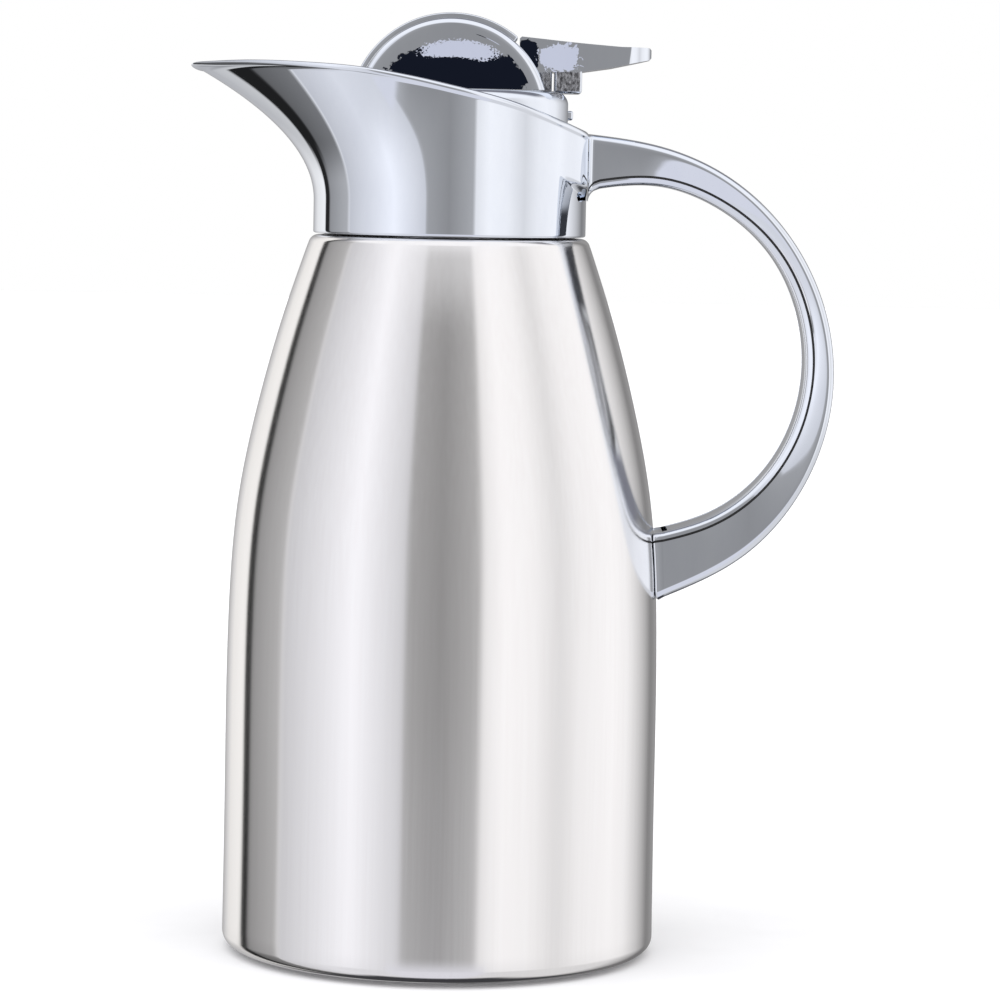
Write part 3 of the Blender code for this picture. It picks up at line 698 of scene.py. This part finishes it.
def cove(distance, radius):
    """How far a concave fillet of a radius stands out at a distance from its foot."""
    return radius - math.sqrt(max(radius**2 - max(radius - distance, 0.0) ** 2, 0.0))


def handle_rings(stations):
    """The shell's sections from the boss behind the collar to the flask."""
    (outer_first, inner_first), (outer_next, inner_next) = stations[:2]
    rings = []
    # The upper root spreads in a fillet where it meets the boss.
    for distance in (0.0, 0.04, 0.12, 0.25, 0.45, 0.7, 1.0, 1.35):
        share = distance / math.dist(outer_first, outer_next)
        o = np.array(outer_first) * (1 - share) + np.array(outer_next) * share
        n = np.array(inner_first) * (1 - share) + np.array(inner_next) * share
        n[1] -= cove(distance, ROOT_FILLET_R)
        rings.append(handle_ring(o, n, 0.0, SHALLOW, cove(distance, ROOT_SPREAD_R)))
    for i, (o, n) in enumerate(stations[1:], 1):
        share = i / (len(stations) - 1)
        grip = smoothstep(share, 0.0, 0.24) * (1 - smoothstep(share, 0.72, 0.92))
        # The channel is deep only under the cover.
        floor = CHANNEL_DEPTH if COVERED[0] <= i < len(stations) + COVERED[1] else SHALLOW
        low = n[1] - cove(o[0] - HANDLE_ROOT_X, ROOT_FILLET_R)
        rings.append(handle_ring(o, (n[0], low), grip, floor))
    # The lower root ends on the shell's own surface, a fine seam away from it, with a narrow edge round.
    last = rings.pop()
    middle = sum(last, Vector()) / len(last)
    for inset, stand_off in ((0.0, 1.0), (0.012, 0.6), (0.035, GAP)):
        ring = []
        for p in last:
            z = middle.z + (p.z - middle.z) * (1 - inset)
            y = p.y * (1 - inset)
            ring.append(Vector((math.sqrt(max(body_radius(z) ** 2 - y**2, 1.0)) + stand_off, y, z)))
        rings.append(ring)
    return rings


def paint_groove_shadow(bm, section):
    """The three faces of the groove beside each inner edge get the second material, black plastic, in every
    section: a painted shadow line in the chrome groove.
    """
    per_ring = len(section)
    first = next(i for i, p in enumerate(section) if section[i + 1].y < p.y - 0.8 * GROOVE[1])
    dark = {first, first + 1, first + 2}
    # The other side mirrors this one; the channel's last three faces lie between them.
    dark |= {per_ring - 4 - i for i in dark}
    for number, face in enumerate(bm.faces):
        if len(face.verts) == 4 and number % per_ring in dark:
            face.material_index = 1


def make_handle():
    stations = list(zip(*handle_edges()))
    rings = handle_rings(stations)
    shell = loft(rings)
    paint_groove_shadow(shell, rings[0])
    # The second material, black plastic, paints a shadow line into the grooves beside the inner edges.
    add_piece("handle_shell_fine", shell, [CHROME, PLASTIC], "root", ["handle_shell"], 50)

    cover = []
    for o, n in stations[COVERED[0] : COVERED[1]]:
        base, way, _ = handle_frame(o, n)
        half = COVER_HALF_WIDTH
        section = [(half, COVER_T), (half, 0.5), (half - 0.12, 0.18), (half - 0.5, 0.0)]
        crown = np.linspace(half - 1.2, 1.2 - half, 9)
        section += [(y, -0.12 * math.cos(math.pi / 2 * y / half)) for y in crown]
        section += [(0.5 - half, 0.0), (0.12 - half, 0.18), (-half, 0.5), (-half, COVER_T)]
        cover.append([base + way * d + Vector((0, y, 0)) for y, d in section])
    add_piece("handle_cover_fine", loft(cover), CHROME, "root", ["handle_cover"], 50)


# ---------------------------------------------------------------- lid


def make_cap():
    under, inner_r = CAP_TOP - 3.0, CAP_R - 2.5
    profile = [(0, CAP_TOP)] + arc((CAP_R - CAP_CORNER_R, CAP_TOP - CAP_CORNER_R), CAP_CORNER_R, 90, 0, 16)
    profile += [(CAP_R, CAP_LOW + 0.4), (CAP_R - 0.3, CAP_LOW), (inner_r, CAP_LOW), (inner_r, under)]
    profile += [(0, under)]
    cap = add_piece("lid_cap_fine", turned(profile, 240), CHROME, "lid", ["lid_cap"])
    notch = NOTCH_HALF_WIDTH
    boolean(cap, box((23.8, -notch, 246.8), (43.0, notch, 264.0), 0.8), "DIFFERENCE")


def foot_angle(radius, low_z):
    """Where a circle round the dome's centre comes down to a height, in degrees."""
    return math.degrees(math.asin((low_z - DOME_CENTRE_Z) / radius))


def dome_arc(radius, low_z, count):
    foot = foot_angle(radius, low_z)
    return arc((0, DOME_CENTRE_Z), radius, foot, 180 - foot, count)


def make_cheeks():
    low = CAP_TOP + GAP
    inner_y, outer_y = CHEEK_Y
    flat_y = outer_y - 0.35
    for name, side in (("left", -1), ("right", 1)):
        rings = [(inner_y, CHEEK_R - 0.25), (inner_y + 0.25, CHEEK_R)]
        for a in np.radians(np.linspace(0, 90, 9)):
            rings.append((flat_y - 1.8 * (1 - math.sin(a)), CHEEK_R - CHEEK_BEVEL * (1 - math.cos(a))))
        # The flat is crowned by a tenth of a millimetre.
        for share in (0.9, 0.75, 0.55, 0.4):
            crown_r = (CHEEK_R - CHEEK_BEVEL) * share + 8.5 * (1 - share)
            rings.append((flat_y + 0.1 * (1 - share**2), crown_r))
        loops = [[(x, side * y, z) for x, z in dome_arc(r, low, 96)] for y, r in rings]
        cheek = f"dome_cheek_{name}"
        add_piece(f"{cheek}_fine", loft(loops), CLEAR_CHROME, "lid", [cheek], 50)


def make_arch():
    low = CAP_TOP + GAP
    rear = math.degrees(math.acos(ARCH_REAR_X / ARCH_R))
    inner_r = ARCH_R - ARCH_T
    outline = arc((0, DOME_CENTRE_Z), ARCH_R, rear, 180 - foot_angle(ARCH_R, low), 90)
    outline += arc((0, DOME_CENTRE_Z), inner_r, 180 - foot_angle(inner_r, low), rear, 90)
    half = ARCH_HALF_WIDTH
    arch = add_piece("dome_arch_fine", prism(outline, -half, half), CHROME, "lid", ["dome_arch"])
    bevel_edges(arch, 0.45, 3, 45)


def make_lever():
    pin_x, pin_z = PIVOT
    half = 9.5
    top = spline([(27.0, 273.8), (34.3, 273.1), (50.0, 271.9)], 4)
    outline = [(19.9, 271.0), (19.9, 273.9), (20.5, 274.4)] + top
    outline += [(58.4, 271.8), (LEVER_TIP_X, 271.2), (LEVER_TIP_X, 268.9), (58.5, 268.2), (47.1, 265.7)]
    outline += [(38.7, 264.4), (27.0, 264.0), (20.8, LEVER_LOW_Z)] + arc((pin_x, pin_z), 4.5, -70, -270, 24)
    plate = prism(outline, -half, half)
    # The sides lean in towards the top by a degree.
    for vert in plate.verts:
        vert.co.y *= 1 - (vert.co.z - LEVER_LOW_Z) * math.tan(math.radians(1.0)) / half
    finishes = [CLEAR_CHROME, GRAINED]
    lever = add_piece("thumb_lever_fine", plate, finishes, "lever", ["thumb_lever"])
    # A cutter whose plan rounds the two corners of the lever's end.
    round_x = LEVER_TIP_X - LEVER_END_R
    end = [(0.0, -half - 2), (0.0, half + 2), (round_x, half + 2), (round_x, half)]
    end += arc((round_x, half - LEVER_END_R), LEVER_END_R, 90, 0, 20)
    end += arc((round_x, LEVER_END_R - half), LEVER_END_R, 0, -90, 20)
    end += [(round_x, -half), (round_x, -half - 2)]
    boolean(lever, loft([[(x, y, z) for x, y in end] for z in (255.0, 285.0)]), "INTERSECT")
    bevel_edges(lever, 0.7, 4, 30)
    boolean(lever, box((30.3, -8.5, 257.9), (38.5, 8.5, 266.0), 0.9), "UNION")
    boolean(lever, box((25.8, -6.0, 257.6), (29.6, 6.0, 266.0), 0.5), "UNION")
    # The flat sides of the block under the lever keep their moulded grain.
    for face in lever.data.polygons:
        centre = face.center / MM
        flat = abs(face.normal.y) > 0.9
        if flat and centre.z < 264.3 and 25.0 < centre.x < 39.0 and abs(centre.y) < 9.0:
            face.material_index = 1
    flatten_shading(lever)


# ---------------------------------------------------------------- stopper and valve


def lid_screw_places():
    angles = np.radians(LID_SCREW_ANGLES)
    return [(LID_SCREW_CIRCLE_R * math.cos(a), LID_SCREW_CIRCLE_R * math.sin(a)) for a in angles]


def make_stopper():
    tube = [(22.2, 241.2), (25.0, 241.2), (25.0, 220.0), (23.8, 220.0), (23.8, 216.0), (25.0, 216.0)]
    tube += [(25.0, 209.0), (15.0, 209.0), (15.0, 211.5), (22.2, 211.5)]
    wall = turned(fillet(tube, 0.4, 3))
    stopper = add_piece("stopper_body_fine", wall, PLASTIC, "lid", ["stopper_body"])
    hub = fillet([(3.4, 214.0), (6.0, 214.0), (6.0, 209.0), (3.4, 209.0)], 0.3, 3)
    boolean(stopper, turned(hub, 64), "UNION")
    for k in range(3):
        spoke = box((4.8, -1.2, 209.1), (16.5, 1.2, 211.4))
        boolean(stopper, spin(spoke, 60 + 120 * k), "UNION")
    for k in range(6):
        window = box((15, -6, 229.5), (30, 6, 238.5), 1.2)
        boolean(stopper, spin(window, 60 * k), "DIFFERENCE")
    lobe = fillet([(24.1, 219.7), (26.2, 219.2), (25.4, 218.0), (26.2, 216.8), (24.1, 216.3)], 0.5)
    add_piece("stopper_seal_fine", turned(lobe), SILICONE, "lid", ["stopper_seal"], 60)


def make_lid_floor():
    floor = [(35.4, 243.5), (35.4, 241.5), (10.5, 241.5), (10.5, 231.5), (3.4, 231.5), (3.4, 233.3)]
    floor += [(8.7, 233.3), (8.7, 243.5)]
    disc = turned(fillet(floor, 0.5))
    piece = add_piece("lid_floor_fine", disc, PLASTIC, "lid", ["lid_floor"])
    # The fin that keeps the lid from turning.
    boolean(piece, box((27.5, -2.0, 232.0), (30.5, 2.0, 242.3), 0.4), "UNION")
    for x, y in lid_screw_places():
        boolean(piece, rod((x, y, 240), (x, y, 245), 1.5), "DIFFERENCE")


def make_valve():
    stem = fillet([(0, 207.3), (3.0, 207.3), (3.0, 249.7), (0, 249.7)], 0.4)
    add_piece("valve_stem_fine", turned(stem, 64), FASTENER, "valve", ["valve_stem"])
    plug = fillet([(1.5, 207.0), (18.0, 207.0), (18.0, 204.5), (1.5, 204.5)], 0.6)
    add_piece("valve_plug_fine", turned(plug), PLASTIC, "valve", ["valve_plug"])
    seal = fillet([(13.5, 208.7), (18.0, 208.7), (18.0, 207.3), (13.5, 207.3)], 0.4)
    add_piece("valve_seal_fine", turned(seal), SILICONE, "valve", ["valve_seal"])
    bar = box((-9, -7.5, 250.0), (34.0, 7.5, 252.0), 0.3)
    push_frame = add_piece("push_frame_fine", bar, CHROME, "valve", ["push_frame"])
    boolean(push_frame, box((32.8, -5, 250.1), (36.1, 5, 252.8), 0.6), "UNION")
    boolean(push_frame, box((30.2, -6, 250.6), (33.4, 6, 257.6), 0.4), "UNION")
    boolean(push_frame, rod((0, 0, 249), (0, 0, 253), 1.5), "DIFFERENCE")


def make_screw(name, base, direction, head, shank, body):
    """A pan-head screw with a cross recess, from its head's underside along its shank's direction.

    head and shank are each a radius and a length.
    """
    head_r, head_t = head
    shank_r, length = shank
    profile = [(0, length), (shank_r * 0.6, length - 0.1), (shank_r, length - 0.7), (shank_r, 0)]
    profile += [(head_r, 0), (head_r, -0.35 * head_t), (0.8 * head_r, -0.8 * head_t)]
    profile += [(0.4 * head_r, -0.97 * head_t), (0, -head_t)]
    turn = Vector(direction).to_track_quat("Z", "Y").to_matrix().to_4x4()
    bm = turned(profile, 32)
    move = Matrix.Translation(Vector(base)) @ turn
    bmesh.ops.transform(bm, matrix=move, verts=bm.verts)
    piece = add_piece(f"{name}_fine", bm, FASTENER, body, [name])
    for size in ((0.62 * head_r, 0.17 * head_r), (0.17 * head_r, 0.62 * head_r)):
        slot = box((-size[0], -size[1], -head_t - 1), (size[0], size[1], -0.45 * head_t))
        bmesh.ops.transform(slot, matrix=move, verts=slot.verts)
        boolean(piece, slot, "DIFFERENCE")


def make_screws():
    for number, (x, y) in enumerate(lid_screw_places(), 1):
        make_screw(f"lid_screw_{number}", (x, y, 241.2), (0, 0, 1), (2.6, 1.6), (1.1, 9.0), "lid")
    make_screw("valve_screw", (0, 0, 204.2), (0, 0, 1), (3.2, 1.8), (1.1, 9.0), "valve")
    make_screw("handle_lower_screw", (70.5, 0, 123.8), (0, 0, -1), (3.0, 2.0), (1.5, 9.6), "root")


def make_spring():
    turns, per_turn, sides = 5, 36, 10
    coil_r, wire_r = 6.0, 0.5
    low, high = 234.2, 249.1
    rings = []
    for k in range(turns * per_turn + 1):
        angle = 2 * math.pi * k / per_turn
        out = Vector((math.cos(angle), math.sin(angle), 0))
        centre = out * coil_r + Vector((0, 0, low + (high - low) * k / (turns * per_turn)))
        ring = []
        for a in [2 * math.pi * s / sides for s in range(sides)]:
            ring.append(centre + out * wire_r * math.cos(a) + Vector((0, 0, wire_r * math.sin(a))))
        rings.append(ring)
    coil = loft(rings)
    spring = add_piece("valve_spring_fine", coil, FASTENER, "lid", ["valve_spring"], 60)
    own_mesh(spring)


# ---------------------------------------------------------------- studio


CREAM, PLAIN, LAVENDER = (1.0, 0.985, 0.97), (1.0, 0.99, 1.0), (0.985, 0.985, 1.03)


def ring_stops(stops):
    """Degrees from the camera's side, positive towards the handle, each with a grey level and a tint."""
    return [((a + 180) / 360, tuple(level * part for part in tint)) for a, level, tint in stops]


# What stands round the pot at eye level: white panels, dark gaps between them and one black edge.
EYE_LEVEL = ring_stops(
    [
        (-180, 0.30, PLAIN), (-166, 0.45, PLAIN), (-158, 0.62, PLAIN), (-148, 0.85, CREAM),
        (-129.5, 0.97, CREAM), (-128.5, 0.02, PLAIN), (-121.5, 0.02, PLAIN), (-120.5, 0.30, PLAIN),
        (-94.5, 0.46, PLAIN), (-93.5, 0.95, PLAIN), (-92.5, 0.60, LAVENDER), (-64, 0.83, LAVENDER),
        (-47, 1.0, LAVENDER), (-34, 0.84, LAVENDER), (-19.5, 0.66, LAVENDER), (-18.0, 0.38, PLAIN),
        (0, 0.29, PLAIN), (16, 0.40, PLAIN), (20.5, 0.44, PLAIN), (22.0, 0.85, PLAIN), (34, 1.0, PLAIN),
        (50, 0.95, PLAIN), (66, 0.76, PLAIN), (80, 0.92, PLAIN), (104, 1.0, PLAIN), (118, 0.93, PLAIN),
        (136, 0.55, PLAIN), (150, 0.22, PLAIN), (165, 0.32, PLAIN), (180, 0.27, PLAIN),
    ]
)
# The same lower down, where the table and the stands are.
LOW_LEVEL = ring_stops(
    [
        (-180, 0.42, PLAIN), (-155, 0.50, PLAIN), (-133, 0.62, CREAM), (-131, 0.015, PLAIN),
        (-118.5, 0.015, PLAIN), (-116.5, 0.13, PLAIN), (-94.5, 0.20, PLAIN), (-93.5, 0.90, PLAIN),
        (-92.0, 0.60, LAVENDER), (-60, 0.78, LAVENDER), (-30, 0.72, LAVENDER), (0, 0.70, LAVENDER),
        (60, 0.72, PLAIN), (110, 0.70, PLAIN), (136, 0.40, PLAIN), (150, 0.16, PLAIN),
        (180, 0.20, PLAIN),
    ]
)


def patch(nodes, azimuth, height, ripple, centre, radii):
    """A share that is 1 in an irregular patch of the room, in degrees, and 0 outside it."""
    across = nodes.math("MULTIPLY", nodes.math("SUBTRACT", azimuth, centre[0]), 1 / radii[0])
    up = nodes.math("MULTIPLY", nodes.math("SUBTRACT", height, centre[1]), 1 / radii[1])
    far = nodes.math("ADD", nodes.math("MULTIPLY", across, across), nodes.math("MULTIPLY", up, up))
    return nodes.remap(nodes.math("ADD", far, ripple), 0.92, 1.0, 1.0, 0.0)


def uneven(nodes, place, scale, detail, size):
    """Noise round zero, which makes a patch's edge irregular."""
    centred = nodes.math("SUBTRACT", nodes.noise(place, scale, detail, 0.6), 0.5)
    return nodes.math("MULTIPLY", centred, size)


def add_patches(nodes, room, azimuth, z, clear):
    """Dark and pale things in the photographer's corner, which only the clearest mirrors show."""
    degrees = nodes.math("MULTIPLY", azimuth, 180 / math.pi)
    height = nodes.math("MULTIPLY", nodes.math("ARCSINE", z), 180 / math.pi)
    both = nodes.add("ShaderNodeCombineXYZ")
    nodes.feed(both.inputs[0], degrees)
    nodes.feed(both.inputs[1], height)
    coarse = uneven(nodes, both.outputs[0], 3.5, 5.0, 1.5)
    fine = uneven(nodes, both.outputs[0], 14.0, 3.0, 2.6)
    slight = nodes.math("MULTIPLY", fine, 0.4)
    navy, pale = (0.008, 0.010, 0.018, 1), (0.62, 0.63, 0.72, 1)
    for centre, radii, ripple, colour in (
        ((-0.65, 1.80), (2.05, 0.86), coarse, navy),
        ((-0.60, 2.45), (1.05, 0.33), fine, pale),
        ((0.26, 3.62), (0.20, 0.24), slight, navy),
        ((0.78, 3.60), (0.34, 0.20), fine, pale),
    ):
        share = nodes.math("MULTIPLY", clear, patch(nodes, degrees, height, ripple, centre, radii))
        room = nodes.mix(share, room, colour)
    return room


def make_world():
    world = bpy.data.worlds.new("studio")
    bpy.context.scene.world = world
    world.use_nodes = True
    nodes = Nodes(world.node_tree)
    background = world.node_tree.nodes["Background"]
    direction = nodes.add("ShaderNodeTexCoord").outputs["Generated"]
    split = nodes.add("ShaderNodeSeparateXYZ")
    nodes.link(direction, split.inputs[0])
    x, y, z = split.outputs
    azimuth = nodes.math("ARCTAN2", x, nodes.math("MULTIPLY", y, -1.0))
    aside = nodes.math("ABSOLUTE", azimuth)
    turn = nodes.math("ADD", nodes.math("MULTIPLY", azimuth, 1 / (2 * math.pi)), 0.5)
    room = nodes.mix(nodes.remap(z, -0.12, -0.42), nodes.ramp(turn, EYE_LEVEL), nodes.ramp(turn, LOW_LEVEL))
    # The table is bright below the gap in front.
    middle = nodes.remap(aside, 0.42, 0.5, 1.0, 0.0)
    table = nodes.math("MULTIPLY", middle, nodes.remap(z, -0.21, -0.26))
    room = nodes.mix(table, room, (0.72, 0.72, 0.78, 1))
    # Overhead: a bright ceiling in front, dark behind.
    bright, dim, rear = (0.97, 0.97, 1.0), (0.20, 0.20, 0.23), (0.24, 0.24, 0.27)
    depth = nodes.math("ADD", nodes.math("MULTIPLY", y, 0.5), 0.5)
    ceiling = nodes.ramp(depth, [(0.0, bright), (0.58, bright), (0.68, dim), (1.0, rear)])
    room = nodes.mix(nodes.remap(z, 0.5, 0.72), room, ceiling)
    # Straight down and behind it is dark.
    narrow = nodes.remap(nodes.math("ABSOLUTE", x), 0.3, 0.5, 1.0, 0.0)
    behind = nodes.math("MULTIPLY", nodes.remap(y, -0.45, -0.2), nodes.remap(y, 0.78, 0.6))
    dark = nodes.math("MULTIPLY", nodes.math("MULTIPLY", narrow, behind), nodes.remap(z, -0.2, -0.4))
    room = nodes.mix(dark, room, (0.045, 0.045, 0.05, 1))
    light_path = nodes.add("ShaderNodeLightPath")
    room = add_patches(nodes, room, azimuth, z, light_path.outputs["Is Singular Ray"])
    # The camera itself sees plain white behind the pot.
    seen = nodes.mix(light_path.outputs["Is Camera Ray"], room, (1.0, 1.0, 1.0, 1))
    nodes.link(seen, background.inputs["Color"])
    background.inputs["Strength"].default_value = 1.0


def make_floor():
    bm = bmesh.new()
    bmesh.ops.create_grid(bm, x_segments=2, y_segments=2, size=6000.0)
    bmesh.ops.translate(bm, vec=(0, 0, -0.05), verts=bm.verts)
    material, shader, nodes = new_material("floor_white", 0.0)
    speckle = nodes.noise(nodes.place((40.0, 40.0, 40.0)), 1.0)
    colour = nodes.ramp(speckle, [(0.3, (0.93, 0.93, 0.93)), (0.7, (0.95, 0.95, 0.95))])
    nodes.link(colour, shader.inputs["Base Color"])
    shader.inputs["Roughness"].default_value = 0.9
    shader.inputs["Specular IOR Level"].default_value = 0.0
    floor = add_piece("floor", bm, material, None)
    floor.visible_glossy = False


def add_sun():
    light = bpy.data.lights.new("soft_sun", "SUN")
    light.energy = 1.9
    light.angle = math.radians(120)
    lamp = bpy.data.objects.new("soft_sun", light)
    lamp.rotation_euler = (math.radians(12), math.radians(-14), 0)
    lamp.visible_glossy = False
    bpy.context.scene.collection.objects.link(lamp)


def make_camera():
    camera = bpy.data.cameras.new("camera")
    camera.lens = 144.25
    camera.sensor_width = 36.0
    holder = bpy.data.objects.new("camera", camera)
    down, aside = 4.709, 1.098
    tilt = Matrix.Rotation(math.radians(90 - down), 4, "X") @ Matrix.Rotation(math.radians(aside), 4, "Z")
    holder.matrix_world = Matrix.Translation((0.0166, -1.2, 0.235)) @ tilt
    bpy.context.scene.collection.objects.link(holder)
    bpy.context.scene.camera = holder


def finish_cad_nodes():
    """The nodes that stay as they are get the procedural finish of their slot."""
    finishes = {
        "shell_steel": STEEL,
        "flask_steel": FLASK,
        "chrome": CHROME,
        "black_plastic": PLASTIC,
        "silicone": SILICONE,
        "fastener_steel": FASTENER,
    }
    for part in frame["record"]["subparts"]:
        node = frame["nodes"][part["node"]]
        node.data.materials.clear()
        node.data.materials.append(finishes[part["material_slot"]])


finish_cad_nodes()
make_outer_shell()
make_inner_flask()
make_base()
make_collar()
make_neck_parts()
make_handle()
make_cap()
make_cheeks()
make_arch()
make_lever()
make_stopper()
make_lid_floor()
make_valve()
make_screws()
make_spring()
make_world()
make_floor()
add_sun()
make_camera()
bpy.context.scene.view_settings.view_transform = "Standard"
